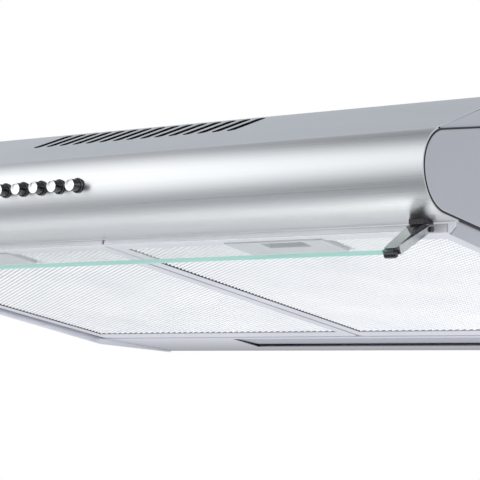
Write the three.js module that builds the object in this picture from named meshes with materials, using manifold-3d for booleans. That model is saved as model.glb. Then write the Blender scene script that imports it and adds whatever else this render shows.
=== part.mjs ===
// Under cabinet range hood, 60 cm, with a glass visor and two mesh grease filters.
// Millimetres. +X is the hood's right seen from the front, +Y goes to the wall and +Z is up.
// The origin is on the top plate, under the cabinet, on the hood's centre line.
import * as THREE from 'three';
import { mergeVertices } from 'three/addons/utils/BufferGeometryUtils.js';
import Module from 'manifold-3d';

const wasm = await Module();
wasm.setup();

// ---- driving dimensions ----
const WIDTH = 600;
const SHEET = 1; // steel sheet thickness
const STRIP_SHEET = 0.6; // sheet of the slotted strip
const GAP = 0.3; // clearance kept between touching pieces
const REAR_Y = 300; // wall side
const WALL_X = 297.7; // outer face of a side wall

// sloped vent strip, from the top plate's front edge down to the fold above the nose
const STRIP_TOP_Y = -67;
const STRIP_ANGLE = THREE.MathUtils.degToRad(18);
const FOLD_Y = -164.2;
const FOLD_Z = (FOLD_Y - STRIP_TOP_Y) * Math.tan(STRIP_ANGLE);
const SLOT_COUNT = 15;
const SLOT_PITCH = 13.4;
const SLOT_WIDTH = 8;
const SLOT_LENGTH = 43;
const SLOT_END_MARGIN = 3; // from the slots' upper ends to the top edge of the strip

// rounded nose: a small upper arc and a larger lower arc that share their foremost point
const NOSE_Z = -56.5;
const NOSE_FRONT_Y = -181.9;
const NOSE_UPPER_R = 26.4;
const NOSE_LOWER_R = 30;
const UNDER_ANGLE = THREE.MathUtils.degToRad(10.35); // the underside falls towards the wall
const FLANGE_END_Y = -140.4;
const HEM = [1.1, -0.9]; // the flange's edge is bent down by this much

// front edge of the side walls: behind the cap's rim, with a lip over the cap's head
const WALL_FRONT_Y = -147;
const WALL_LIP_Y = -158;
const WALL_STEP_Z = -92; // the wall closes the corner behind the flange down to here
const WALL_TAB_LOW = -95.6; // lower end of the tab bent in beside the filter's front corner

// lower edge of the side walls
const TIP = [-146, -97.6];
const KNEE = [194.7, -162.2];
const FLOOR_Z = -169.8;

// end caps
const CAP_THICK = 2;
const CAP_SEAM = 1.2;
const CAP_REAR_Y = -57;
const CAP_TOP_SLOPE = 0.1157;
const CAP_CORNER_R = 10;

// grease filters
const FILTER_FRONT = [-139.6, -95.74];
const FILTER_LENGTH = 338.6;
const FILTER_INNER_X = 1.3;
const FILTER_CORNER_X = 0.45; // the two front corners come closer together than the sides
const FILTER_CORNER_LENGTH = 4;
const FILTER_OUTER_X = 291;
const FILTER_THICK = 9.6;
const FILTER_SIDE_RIM = 10.5;
const FILTER_FRONT_RIM = 15.6;
const FILTER_REAR_RIM = 17;
const MESH_THICK = 2;
const LATCH_WIDTH = 83;
const LATCH_DEPTH = 34;
const LATCH_FRONT = 10; // from the filter's front edge
const GRIP_SIDES = [-13, 22.6]; // from the middle of the latch
const GRIP_DEPTH = 13;

// visor: every length runs along the arm from the pin, every height is above the pin line
const PIN = [-144.8, -93.6];
const VISOR_ANGLE = THREE.MathUtils.degToRad(22.8);
const ARM_INNER_X = 271;
const ARM_OUTER_X = 282;
const BAR_THICK = 5;
const BAR_FRONT = { at: -38.6, low: -2.8, top: 3.3 };
const BAR_REAR = { low: -1.9, top: 2.6 };
const EYE_R = 2.6;
const PIN_R = 1;
const PIN_HEAD_R = 2;
const TONGUE_FRONT = -42;
const TONGUE_REAR = -10.6;
const TONGUE_SKEW = -22.6; // where the slanting rear edge reaches the outer side
const TONGUE_TOP = 2.97; // at the tongue's front
const TONGUE_SLOPE = 0.0974;
const TONGUE_THICK = 1.5;
const HEEL_FRONT = -17;
const HEEL_REAR = -3.9;
const TIP_LENGTH = 4.4;
const TIP_LOW = -4;
const TIP_TOP = 0.5;
const GLASS_THICK = 3;
const GLASS_FRONT = -41.6;
const GLASS_REAR = -4.1;
const EAR_R = 3.4;
const STOP_FRONT_Y = -153.5;
const STOP_FRONT_Z = -90.65;
const STOP_REAR_Y = -141.4;
const STOP_LOW = 3.3; // the stop's underside above the pin

// push buttons
const BUTTON_X = -20.8;
const BUTTON_Z = -54;
const BUTTON_PITCH = 17.5;
const BUTTON_R = 4.25;
const BUTTON_OUT = 9; // how far a button stands out of the nose
const BEZEL_HOLE_R = 5.2;
const BEZEL_LIP_R = 5.5;
const BEZEL_OUT = 1.6;

// duct outlet and blower
const DUCT_Y = 150;
const DUCT_R = 60;
const COLLAR_HEIGHT = 22;
const COLLAR_LIP = 2;
const COLLAR_LOW = -3.3; // the collar's lip lies under the top plate
const FLAP_Z = 8;
const BLOWER_Y = 132;
const BLOWER_Z = -66;
const SCROLL_HALF = 60;
const WHEEL_R = 46;
const WHEEL_HALF = 50;

// lamps behind the rear cover
const BASE_FRONT = [196, -157.3];
const BASE_SLOPE = 0.1087;
const COVER_FRONT_Y = 206;
const COVER_REAR_Y = 267;
const COVER_FRONT_HALF = 148;
const COVER_REAR_HALF = 164;
const COVER_LAP = 7;
const COVER_THICK = 2;
const COVER_LIFT = 1.6; // the cover's rear edge stands a little off the panel
const LAMP_X = 96;
const LAMP_Y = 240;
const LAMP_Z = -128;

// ---- materials ----
const paint = (color, roughness, metalness, extra = {}) =>
  new THREE.MeshStandardMaterial({ color, roughness, metalness, ...extra });
const steel = paint(0xc9cbcd, 0.32, 1);
const galvanised = paint(0xa9abad, 0.5, 1);
const aluminium = paint(0xd6d8dc, 0.42, 1);
const capPlastic = paint(0xa5a8b2, 0.5, 0.1);
const greyPlastic = paint(0x9da0a6, 0.55, 0);
const blackPlastic = paint(0x0c0c0e, 0.25, 0);
const rubber = paint(0x141414, 0.7, 0);
const chrome = paint(0xdcdfe2, 0.12, 1);
const glass = paint(0xb4ddd0, 0.05, 0, { transparent: true, opacity: 0.35 });
const frosted = paint(0xb9bcc8, 0.6, 0);
const whitePlastic = paint(0xe6e6e2, 0.5, 0);
const motorSteel = paint(0x8c8f94, 0.45, 1);

const hood = new THREE.Group();

// ---- helpers ----
function add(name, geometry, material, parent = hood) {
  const mesh = new THREE.Mesh(geometry, material);
  mesh.name = name;
  parent.add(mesh);
  return mesh;
}

function toSolid(geometry) {
  const bare = geometry.clone();
  bare.deleteAttribute('normal');
  bare.deleteAttribute('uv');
  const merged = mergeVertices(bare, 1e-4);
  return new wasm.Manifold(new wasm.Mesh({
    numProp: 3,
    vertProperties: Float32Array.from(merged.attributes.position.array),
    triVerts: Uint32Array.from(merged.index.array),
  }));
}

function toGeometry(solid) {
  const mesh = solid.getMesh();
  const geometry = new THREE.BufferGeometry();
  geometry.setAttribute('position', new THREE.BufferAttribute(mesh.vertProperties, 3));
  geometry.setIndex(new THREE.BufferAttribute(mesh.triVerts, 1));
  geometry.computeVertexNormals();
  return geometry;
}

const cut = (geometry, tools) =>
  toGeometry(tools.reduce((solid, tool) => solid.subtract(toSolid(tool)), toSolid(geometry)));

const join = (geometries) =>
  toGeometry(geometries.slice(1).reduce((solid, one) => solid.add(toSolid(one)), toSolid(geometries[0])));

// a box between two corners
function block(low, high) {
  const size = high.map((value, i) => value - low[i]);
  const middle = high.map((value, i) => (value + low[i]) / 2);
  return new THREE.BoxGeometry(...size).translate(...middle);
}

const outline = (points) => new THREE.Shape(points.map(([u, v]) => new THREE.Vector2(u, v)));

const SIDE_BASIS = new THREE.Matrix4().makeBasis(
  new THREE.Vector3(0, 1, 0), new THREE.Vector3(0, 0, 1), new THREE.Vector3(1, 0, 0));

// a side-view outline, in (y, z), drawn out along X from x0 to x1
function alongX(shape, x0, x1) {
  const options = { depth: x1 - x0, bevelEnabled: false, curveSegments: 12 };
  return new THREE.ExtrudeGeometry(shape, options).translate(0, 0, x0).applyMatrix4(SIDE_BASIS);
}

// a plan outline, in (x, y), drawn up from z0 to z1
function alongZ(shape, z0, z1) {
  const options = { depth: z1 - z0, bevelEnabled: false, curveSegments: 12 };
  return new THREE.ExtrudeGeometry(shape, options).translate(0, 0, z0);
}

// a round bar along one axis, centred on a point
function rod(axis, radius, length, centre, sides = 20) {
  const bar = new THREE.CylinderGeometry(radius, radius, length, sides);
  if (axis === 'x') bar.rotateZ(Math.PI / 2);
  if (axis === 'z') bar.rotateX(Math.PI / 2);
  return bar.translate(...centre);
}

// points on an arc in (y, z), from one angle to another, in degrees
function arc(centre, radius, from, to, steps) {
  return Array.from({ length: steps + 1 }, (_, i) => {
    const angle = THREE.MathUtils.degToRad(from + ((to - from) * i) / steps);
    return [centre[0] + radius * Math.cos(angle), centre[1] + radius * Math.sin(angle)];
  });
}

// the same piece on the other side; each triangle is turned round so that its face still points out
function mirrorX(geometry) {
  const other = geometry.index ? geometry.toNonIndexed() : geometry.clone();
  const place = other.attributes.position;
  const corner = (i) => [-place.getX(i), place.getY(i), place.getZ(i)];
  for (let i = 0; i < place.count; i += 3) {
    const [first, second, third] = [corner(i), corner(i + 1), corner(i + 2)];
    place.setXYZ(i, ...first);
    place.setXYZ(i + 1, ...third);
    place.setXYZ(i + 2, ...second);
  }
  other.computeVertexNormals();
  return other;
}

// one piece on each side of the hood
function addPair(base, geometry, material, parent = hood) {
  add(`right_${base}`, geometry, material, parent);
  add(`left_${base}`, mirrorX(geometry), material, parent);
}

// ---- shared outlines ----
const stripZ = (y) => (y - STRIP_TOP_Y) * Math.tan(STRIP_ANGLE);
const upperCentre = [NOSE_FRONT_Y + NOSE_UPPER_R, NOSE_Z];
const lowerCentre = [NOSE_FRONT_Y + NOSE_LOWER_R, NOSE_Z];
const UNDER_DEG = THREE.MathUtils.radToDeg(UNDER_ANGLE);
const LOWER_END_DEG = 270 - UNDER_DEG;
const flangeStart = arc(lowerCentre, NOSE_LOWER_R, LOWER_END_DEG, LOWER_END_DEG, 1)[0];
const flangeZ = (y) => flangeStart[1] - (y - flangeStart[0]) * Math.tan(UNDER_ANGLE);

// the nose skin seen from the side, inset by a distance from its outer face
function noseCurve(inset, startDeg, steps) {
  return [
    ...arc(upperCentre, NOSE_UPPER_R - inset, startDeg, 180, steps),
    ...arc(lowerCentre, NOSE_LOWER_R - inset, 180, LOWER_END_DEG, steps).slice(1),
  ];
}

// height of an end cap's upper edge, which is straight behind its rounded head
const CAP_HEAD_DEG = 90 + THREE.MathUtils.radToDeg(Math.atan(CAP_TOP_SLOPE));
const capHead = noseCurve(SHEET + CAP_SEAM, CAP_HEAD_DEG, 1)[0];
const capTop = (y) => capHead[1] + (y - capHead[0]) * CAP_TOP_SLOPE;

// ---- casing ----
function addFrontPanel() {
  const foldDeg = THREE.MathUtils.radToDeg(Math.atan2(FOLD_Z - NOSE_Z, FOLD_Y - upperCentre[0]));
  const outer = noseCurve(0, foldDeg, 14);
  const inner = noseCurve(SHEET, foldDeg, 14).reverse();
  const rise = SHEET / Math.cos(UNDER_ANGLE);
  const endZ = flangeZ(FLANGE_END_Y);
  const end = [
    [FLANGE_END_Y, endZ],
    [FLANGE_END_Y + HEM[0] - 0.7, endZ + HEM[1]],
    [FLANGE_END_Y + HEM[0], endZ + HEM[1] + 0.4],
    [FLANGE_END_Y + 0.4, endZ + rise],
  ];
  const half = WIDTH / 2 - 0.5;
  const skin = alongX(outline([...outer, ...end, ...inner]), -half, half);
  const holes = buttonPlaces().map((x) =>
    rod('y', BEZEL_HOLE_R, 20, [x, NOSE_FRONT_Y, BUTTON_Z], 24));
  add('front_panel', cut(skin, holes), steel);
}

function addVentPanel() {
  const length = (STRIP_TOP_Y - FOLD_Y) / Math.cos(STRIP_ANGLE) - 1;
  const half = WALL_X;
  const shape = outline([[-half, -length], [half, -length], [half, 0], [-half, 0]]);
  const r = SLOT_WIDTH / 2;
  for (let i = 0; i < SLOT_COUNT; i += 1) {
    const x = (i - (SLOT_COUNT - 1) / 2) * SLOT_PITCH;
    const top = -SLOT_END_MARGIN;
    const slot = new THREE.Path();
    slot.absarc(x, top - r, r, 0, Math.PI, false);
    slot.absarc(x, top - SLOT_LENGTH + r, r, Math.PI, 2 * Math.PI, false);
    shape.holes.push(slot);
  }
  const options = { depth: STRIP_SHEET, bevelEnabled: false, curveSegments: 5 };
  const panel = new THREE.ExtrudeGeometry(shape, options);
  panel.translate(0, -GAP - SHEET * Math.tan(STRIP_ANGLE), -STRIP_SHEET);
  panel.rotateX(STRIP_ANGLE);
  add('vent_panel', panel.translate(0, STRIP_TOP_Y, 0), steel);
}

function addTopPlate() {
  const shape = outline([[-WALL_X, STRIP_TOP_Y], [WALL_X, STRIP_TOP_Y], [WALL_X, REAR_Y], [-WALL_X, REAR_Y]]);
  const duct = new THREE.Path();
  duct.absarc(0, DUCT_Y, DUCT_R + 1.2, 0, 2 * Math.PI, false);
  shape.holes.push(duct);
  for (const x of [-240, 240]) {
    for (const y of [-30, 255]) {
      const hole = new THREE.Path();
      hole.absarc(x, y, 3, 0, 2 * Math.PI, false);
      shape.holes.push(hole);
    }
  }
  add('top_plate', alongZ(shape, -SHEET, 0), steel);
}

function addSideWalls() {
  const underStrip = -STRIP_SHEET / Math.cos(STRIP_ANGLE) - GAP;
  const overFlange = SHEET + 2 * GAP;
  const overCap = (y) => capTop(y) + GAP;
  const shape = outline([
    TIP,
    KNEE,
    [REAR_Y, FLOOR_Z],
    [REAR_Y, -SHEET - GAP],
    [STRIP_TOP_Y, -SHEET - GAP],
    [WALL_LIP_Y, stripZ(WALL_LIP_Y) + underStrip],
    [WALL_LIP_Y, overCap(WALL_LIP_Y)],
    [WALL_FRONT_Y, overCap(WALL_FRONT_Y)],
    [WALL_FRONT_Y, flangeZ(WALL_FRONT_Y) + overFlange],
    [FLANGE_END_Y + 1.8, flangeZ(FLANGE_END_Y) + overFlange],
    [FLANGE_END_Y + 1.8, WALL_STEP_Z],
  ]);
  const sheet = alongX(shape, WALL_X - SHEET, WALL_X);
  const tabY = FLANGE_END_Y + 1.8;
  const tab = block(
    [FILTER_OUTER_X + 0.7, tabY, WALL_TAB_LOW],
    [WALL_X - SHEET / 2, tabY + SHEET, flangeZ(tabY) + overFlange]);
  addPair('side_wall', join([sheet, tab]), steel);
}

// side-view outline of an end cap: inside the nose's skin, then straight back over the side wall
function capShape(inset) {
  const nose = noseCurve(SHEET + CAP_SEAM + inset, CAP_HEAD_DEG, 12);
  const top = (y) => nose[0][1] + (y - nose[0][0]) * CAP_TOP_SLOPE;
  const low = nose[nose.length - 1];
  const under = (y) => low[1] - (y - low[0]) * Math.tan(UNDER_ANGLE);
  const rear = CAP_REAR_Y - inset;
  const r = CAP_CORNER_R - inset;
  return outline([
    ...nose,
    [rear - r, under(rear - r)],
    [rear - r * 0.3, under(rear) + r * 0.25],
    [rear, under(rear) + r],
    [rear, top(rear) - r],
    [rear - r * 0.3, top(rear) - r * 0.25],
    [rear - r, top(rear - r)],
  ]);
}

function addEndCaps() {
  const outerX = WIDTH / 2;
  const face = alongX(capShape(0), outerX - CAP_THICK, outerX - 0.6);
  const crown = alongX(capShape(0.6), outerX - 0.6, outerX);
  const seat = outerX - CAP_THICK + 0.2;
  const frontOnly = block([WALL_X - 12, -200, -120], [seat, -149, -20]);
  const rim = toSolid(alongX(capShape(0), WALL_X - 9, seat))
    .subtract(toSolid(alongX(capShape(1.6), WALL_X - 10, outerX)))
    .intersect(toSolid(frontOnly));
  const spigot = rod('x', 3, 8, [WALL_X - 3, -165, NOSE_Z], 12);
  addPair('end_cap', join([face, crown, toGeometry(rim), spigot]), capPlastic);
}

function addRearWall() {
  const half = WALL_X - SHEET - GAP;
  const sheet = block([-half, REAR_Y - SHEET, FLOOR_Z + 1.3], [half, REAR_Y, -SHEET - GAP]);
  const keyholes = [-200, 200].flatMap((x) => [
    rod('y', 7, 6, [x, REAR_Y, -52], 20),
    block([x - 3, REAR_Y - 3, -52], [x + 3, REAR_Y + 3, -34]),
  ]);
  const cable = rod('y', 8.3, 6, [120, REAR_Y, -40], 20);
  add('rear_wall', cut(sheet, [...keyholes, cable]), galvanised);
}

function addRearBase() {
  const half = WALL_X - SHEET - GAP;
  const rearY = REAR_Y - SHEET - GAP;
  const lip = 2.2;
  const lowZ = (y) => BASE_FRONT[1] - (y - BASE_FRONT[0]) * BASE_SLOPE;
  const sheet = alongX(outline([
    BASE_FRONT,
    [rearY, lowZ(rearY)],
    [rearY, lowZ(rearY) + SHEET],
    [BASE_FRONT[0] + SHEET, lowZ(BASE_FRONT[0]) + SHEET],
    [BASE_FRONT[0] + SHEET, BASE_FRONT[1] + lip],
    [BASE_FRONT[0], BASE_FRONT[1] + lip],
  ]), -half, half);
  const window = alongZ(outline([
    [-COVER_FRONT_HALF, COVER_FRONT_Y],
    [COVER_FRONT_HALF, COVER_FRONT_Y],
    [COVER_REAR_HALF, COVER_REAR_Y],
    [-COVER_REAR_HALF, COVER_REAR_Y],
  ]), FLOOR_Z - 10, BASE_FRONT[1] + 10);
  add('rear_base_panel', cut(sheet, [window]), steel);
  addLampCover(lowZ);
}

// the frosted cover lies on the base panel and laps over the window's edges
function addLampCover(lowZ) {
  const frontY = COVER_FRONT_Y - COVER_LAP;
  const backY = COVER_REAR_Y + COVER_LAP;
  const half = COVER_REAR_HALF + COVER_LAP;
  const lowFront = lowZ(frontY) + SHEET + GAP;
  const lowBack = lowZ(backY) + SHEET + GAP + COVER_LIFT;
  const cover = alongX(outline([
    [frontY, lowFront],
    [backY, lowBack],
    [backY, lowBack + COVER_THICK],
    [frontY, lowFront + COVER_THICK],
  ]), -half, half);
  add('lamp_cover', cover, frosted);
}

function addFrontRail() {
  const half = 270;
  const onFlange = SHEET / Math.cos(UNDER_ANGLE) + GAP;
  const back = FLANGE_END_Y - 0.5;
  const front = -150;
  const rail = alongX(outline([
    [front, flangeZ(front) + onFlange],
    [back, flangeZ(back) + onFlange],
    [back, flangeZ(back) + onFlange + 1.2],
    [front + 1.2, flangeZ(front) + onFlange + 1.2],
    [front + 1.2, -60],
    [front, -60],
  ]), -half, half);
  add('front_rail', rail, galvanised);
}

// ---- grease filters, built flat and then tilted with the underside ----
function filterGroup() {
  const group = new THREE.Group();
  group.position.set(0, ...FILTER_FRONT);
  group.rotation.x = -UNDER_ANGLE;
  hood.add(group);
  return group;
}

const filterMiddle = (FILTER_INNER_X + FILTER_OUTER_X) / 2;
const meshLow = [FILTER_INNER_X + FILTER_SIDE_RIM, FILTER_FRONT_RIM];
const meshHigh = [FILTER_OUTER_X - FILTER_SIDE_RIM, FILTER_LENGTH - FILTER_REAR_RIM];

function addFilters() {
  const group = filterGroup();
  addFilterFrames(group);
  addMeshes(group);
  addLatches(group);
}

// the space taken by a latch housing, with some clearance round it
function latchSpace(clear) {
  const half = LATCH_WIDTH / 2 + clear;
  return block(
    [filterMiddle - half, LATCH_FRONT - clear, -FILTER_THICK],
    [filterMiddle + half, LATCH_FRONT + LATCH_DEPTH + clear, 2 * FILTER_THICK]);
}

function addFilterFrames(group) {
  const chamfer = 3;
  const frontChamfer = 0.6;
  const rim = outline([
    [FILTER_CORNER_X + frontChamfer, 0],
    [FILTER_OUTER_X - frontChamfer, 0],
    [FILTER_OUTER_X, frontChamfer],
    [FILTER_OUTER_X, FILTER_LENGTH - chamfer],
    [FILTER_OUTER_X - chamfer, FILTER_LENGTH],
    [FILTER_INNER_X + chamfer, FILTER_LENGTH],
    [FILTER_INNER_X, FILTER_LENGTH - chamfer],
    [FILTER_INNER_X, FILTER_CORNER_LENGTH + 1],
    [FILTER_CORNER_X, FILTER_CORNER_LENGTH],
    [FILTER_CORNER_X, frontChamfer],
  ]);
  const window = block([...meshLow, -1], [...meshHigh, FILTER_THICK + 1]);
  const gate = block([filterMiddle - 16, -1, 6.2], [filterMiddle + 16, FILTER_FRONT_RIM + 1, 8.8]);
  const body = cut(alongZ(rim, 0, FILTER_THICK), [window, gate, latchSpace(GAP)]);
  const tabs = [-90, 90].map((offset) => block(
    [filterMiddle + offset - 12, FILTER_LENGTH - 2, 3.6],
    [filterMiddle + offset + 12, FILTER_LENGTH + 7, 5.2]));
  addPair('filter_frame', join([body, ...tabs]), aluminium, group);
}

function addMeshes(group) {
  const low = 0.6;
  const slab = block(
    [meshLow[0] + GAP, meshLow[1] + GAP, low],
    [meshHigh[0] - GAP, meshHigh[1] - GAP, low + MESH_THICK]);
  addPair('filter_mesh', cut(slab, [latchSpace(GAP)]), aluminium, group);
}

function addLatches(group) {
  const front = LATCH_FRONT;
  const half = LATCH_WIDTH / 2;
  const [gripLow, gripHigh] = GRIP_SIDES.map((side) => filterMiddle + side);
  const shell = block(
    [filterMiddle - half, front, -1],
    [filterMiddle + half, front + LATCH_DEPTH, FILTER_THICK]);
  const grip = block([gripLow, front + 3.5, -2], [gripHigh, front + 3.5 + GRIP_DEPTH, 8.7]);
  const mouth = block([filterMiddle - 15.7, front - 1, 6.2], [filterMiddle + 15.7, front + 5, 8.7]);
  addPair('latch_housing', cut(shell, [grip, mouth]), greyPlastic, group);

  const tongue = block([filterMiddle - 12.7, 0.3, 6.5], [filterMiddle + 15.2, front + 9, 8.4]);
  const pull = block([gripLow + 0.4, front + 3.9, 1], [gripHigh - 0.4, front + 6.5, 8.4]);
  addPair('filter_latch', join([tongue, pull]), blackPlastic, group);
}

// ---- visor, built along the arm from the pin and then tilted ----
function visorGroup() {
  const group = new THREE.Group();
  group.position.set(0, ...PIN);
  group.rotation.x = VISOR_ANGLE;
  hood.add(group);
  return group;
}

const glassHalf = ARM_OUTER_X - BAR_THICK - GAP;
const glassTop = GLASS_THICK / 2;
const tongueTop = (at) => TONGUE_TOP + (at - TONGUE_FRONT) * TONGUE_SLOPE;
const tongueLow = (at) => tongueTop(at) - TONGUE_THICK;
const barTop = (at) => BAR_REAR.top + ((BAR_FRONT.top - BAR_REAR.top) * at) / BAR_FRONT.at;

function addVisor() {
  const group = visorGroup();
  addVisorGlass(group);
  addVisorArms(group);
  addVisorHeels(group);
  const tipRear = BAR_FRONT.at - GAP;
  const tip = block(
    [ARM_INNER_X, tipRear - TIP_LENGTH, TIP_LOW],
    [ARM_OUTER_X - 1.2, tipRear, TIP_TOP]);
  addPair('visor_tip', tip, rubber, group);
  const shank = rod('x', PIN_R, 10.4, [ARM_OUTER_X - 4.6, 0, 0], 16);
  const head = rod('x', PIN_HEAD_R, 1.2, [ARM_OUTER_X + GAP + 0.6, 0, 0], 20);
  addPair('visor_pin', join([shank, head]), blackPlastic, group);
}

// the pane steps in at the front, beside the rubber tips
function addVisorGlass(group) {
  const stepX = ARM_INNER_X - GAP;
  const stepAt = BAR_FRONT.at;
  const pane = alongZ(outline([
    [-stepX, GLASS_FRONT],
    [stepX, GLASS_FRONT],
    [stepX, stepAt],
    [glassHalf, stepAt],
    [glassHalf, GLASS_REAR],
    [-glassHalf, GLASS_REAR],
    [-glassHalf, stepAt],
    [-stepX, stepAt],
  ]), -glassTop, glassTop);
  add('visor_glass', pane, glass, group);
}

// everything in front of (side -1) or behind (side 1) the tongue's slanting rear edge
function skewSide(side, low, high) {
  const edge = (x) => TONGUE_REAR +
    ((TONGUE_SKEW - TONGUE_REAR) * (x - ARM_INNER_X)) / (ARM_OUTER_X - ARM_INNER_X);
  const [x0, x1] = [ARM_INNER_X - 1, ARM_OUTER_X + 1];
  const shift = side < 0 ? GAP : 0;
  const far = side * 40;
  return alongZ(outline([
    [x0, edge(x0) + shift],
    [x1, edge(x1) + shift],
    [x1, edge(x1) + far],
    [x0, edge(x0) + far],
  ]), low, high);
}

// an arm is a bar outside the pane's end, a tongue over the pane and a ledge under it
function addVisorArms(group) {
  const barX = ARM_OUTER_X - BAR_THICK;
  const bar = alongX(outline([
    [BAR_FRONT.at, BAR_FRONT.low],
    [-EYE_R, BAR_REAR.low],
    ...arc([0, 0], EYE_R, -125, 80, 10),
    [-EYE_R, barTop(-EYE_R)],
    [BAR_FRONT.at, BAR_FRONT.top],
  ]), barX, ARM_OUTER_X);
  const tongue = alongX(outline([
    [TONGUE_FRONT, tongueLow(TONGUE_FRONT) + 0.4],
    [TONGUE_FRONT + 1, tongueLow(TONGUE_FRONT + 1)],
    [TONGUE_REAR, tongueLow(TONGUE_REAR)],
    [TONGUE_REAR, tongueTop(TONGUE_REAR)],
    [TONGUE_FRONT, tongueTop(TONGUE_FRONT)],
  ]), ARM_INNER_X + 0.6, ARM_OUTER_X - 0.4);
  const skewed = cut(tongue, [skewSide(1, 0, 10)]);
  const ledge = block(
    [ARM_INNER_X + 2, BAR_FRONT.at + 1, BAR_FRONT.low + 0.2],
    [barX + 1, TONGUE_REAR, -glassTop - GAP]);
  const overGlass = block(
    [ARM_INNER_X - 1, TONGUE_FRONT - 1, glassTop],
    [glassHalf + GAP, TONGUE_REAR + 1, glassTop + GAP]);
  const bore = rod('x', PIN_R + GAP, 3 * BAR_THICK, [barX, 0, 0], 16);
  addPair('visor_arm', cut(join([bar, skewed, ledge]), [bore, overGlass]), chrome, group);
}

// a black wedge that fills the space between tongue and bar and ends as a block behind the tongue
function addVisorHeels(group) {
  const low = barTop(TONGUE_REAR) + 2 * GAP;
  const wedge = alongX(outline([
    [HEEL_FRONT, barTop(HEEL_FRONT) + GAP],
    [HEEL_REAR, low],
    [HEEL_REAR, tongueTop(TONGUE_REAR) - 0.5],
    [TONGUE_REAR + GAP, tongueTop(TONGUE_REAR)],
    [TONGUE_REAR + GAP, tongueLow(TONGUE_REAR) - GAP],
    [HEEL_FRONT, tongueLow(HEEL_FRONT) - GAP],
  ]), ARM_INNER_X, ARM_OUTER_X);
  const pad = block(
    [ARM_INNER_X, TONGUE_REAR + 2 * GAP, glassTop + GAP],
    [glassHalf, HEEL_REAR, low + GAP]);
  const corner = cut(alongX(outline([
    [TONGUE_SKEW - 2, barTop(TONGUE_SKEW) + GAP],
    [TONGUE_REAR + 1, barTop(TONGUE_REAR) + GAP],
    [TONGUE_REAR + 1, tongueTop(TONGUE_REAR)],
    [TONGUE_SKEW - 2, tongueTop(TONGUE_SKEW - 2)],
  ]), ARM_INNER_X + 1, ARM_OUTER_X), [skewSide(-1, 0, 10)]);
  addPair('visor_heel', join([wedge, pad, corner]), blackPlastic, group);
}

// a block under the flange that the visor rests against, with an ear round the pin
function addVisorBrackets() {
  const top = (y) => flangeZ(y) - GAP;
  const [pinY, pinZ] = PIN;
  const low = pinZ + STOP_LOW;
  const stop = alongX(outline([
    [STOP_FRONT_Y, top(STOP_FRONT_Y)],
    [STOP_FRONT_Y, STOP_FRONT_Z],
    [pinY - 5.4, STOP_FRONT_Z + 1],
    [pinY - 3.8, low],
    [STOP_REAR_Y, low],
    [STOP_REAR_Y, top(STOP_REAR_Y)],
  ]), ARM_INNER_X, ARM_OUTER_X);
  const ear = alongX(outline([
    [pinY - EAR_R + 0.3, low + 0.5],
    ...arc(PIN, EAR_R, 185, 355, 10),
    [pinY + EAR_R - 0.3, low + 0.5],
  ]), glassHalf - 3.3, glassHalf);
  const bore = rod('x', PIN_R + GAP, 12, [glassHalf, ...PIN], 16);
  addPair('visor_bracket', cut(join([stop, ear]), [bore]), blackPlastic);
}

// ---- push buttons ----
function buttonPlaces() {
  return [-2, -1, 0, 1, 2].map((i) => BUTTON_X + i * BUTTON_PITCH);
}

// a turned piece on an axis along Y: points are (radius, distance in front of the nose)
function turned(points, x, sides = 24) {
  const lathe = new THREE.LatheGeometry(points.map(([r, h]) => new THREE.Vector2(r, h)), sides);
  return lathe.rotateX(Math.PI).translate(x, NOSE_FRONT_Y, BUTTON_Z);
}

function addButtons() {
  const names = ['button_off', 'button_speed_1', 'button_speed_2', 'button_speed_3', 'button_lamp'];
  const sleeveR = BEZEL_HOLE_R - 0.25;
  const boreR = BUTTON_R + 0.25;
  buttonPlaces().forEach((x, i) => {
    const key = turned([
      [0, -23], [3, -23], [3, -9], [BUTTON_R, -9], [BUTTON_R, BUTTON_OUT - 0.6],
      [BUTTON_R - 0.6, BUTTON_OUT], [2.6, BUTTON_OUT], [0, BUTTON_OUT - 0.7],
    ], x);
    add(names[i], key, blackPlastic);
    const bezel = turned([
      [boreR, -6], [sleeveR, -6], [sleeveR, 0.35], [BEZEL_LIP_R, 0.35],
      [BEZEL_LIP_R, 0.8], [BEZEL_LIP_R - 0.4, BEZEL_OUT - 0.2], [boreR, BEZEL_OUT], [boreR, -6],
    ], x);
    add(`button_bezel_${i + 1}`, bezel, blackPlastic);
  });
}

function addSwitchHousing() {
  const frontY = NOSE_FRONT_Y + 13;
  const body = block(
    [BUTTON_X - 46, frontY, BUTTON_Z - 10],
    [BUTTON_X + 46, frontY + 16, BUTTON_Z + 10]);
  const bores = buttonPlaces().map((x) =>
    rod('y', 3.4, 28, [x, frontY, BUTTON_Z], 16));
  add('switch_housing', cut(body, bores), blackPlastic);
}

// ---- duct outlet ----
function addOutlet() {
  const inner = DUCT_R - 2;
  const lip = DUCT_R + COLLAR_LIP;
  const lipTop = -SHEET - GAP;
  const profile = [
    [inner, COLLAR_LOW], [lip, COLLAR_LOW], [lip, lipTop], [DUCT_R, lipTop],
    [DUCT_R, COLLAR_HEIGHT], [inner, COLLAR_HEIGHT], [inner, COLLAR_LOW],
  ];
  const ring = new THREE.LatheGeometry(profile.map(([r, z]) => new THREE.Vector2(r, z)), 48);
  add('outlet_collar', ring.rotateX(Math.PI / 2).translate(0, DUCT_Y, 0), greyPlastic);
  add('flap_pin', rod('x', 1.5, 2 * (inner - 0.6), [0, DUCT_Y, FLAP_Z], 12), chrome);
  addFlap('front_flap', Math.PI);
  addFlap('rear_flap', 0);
}

// a half-disc non-return flap, turned to its side of the pin
function addFlap(name, turn) {
  const r = DUCT_R - 3.6;
  const lift = Math.asin(2.4 / r);
  const half = new THREE.Shape();
  half.absarc(0, 0, r, lift, Math.PI - lift, false);
  const plate = new THREE.ExtrudeGeometry(half, { depth: 1.2, bevelEnabled: false, curveSegments: 20 });
  add(name, plate.rotateZ(turn).translate(0, DUCT_Y, FLAP_Z - 0.6), greyPlastic);
}

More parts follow.
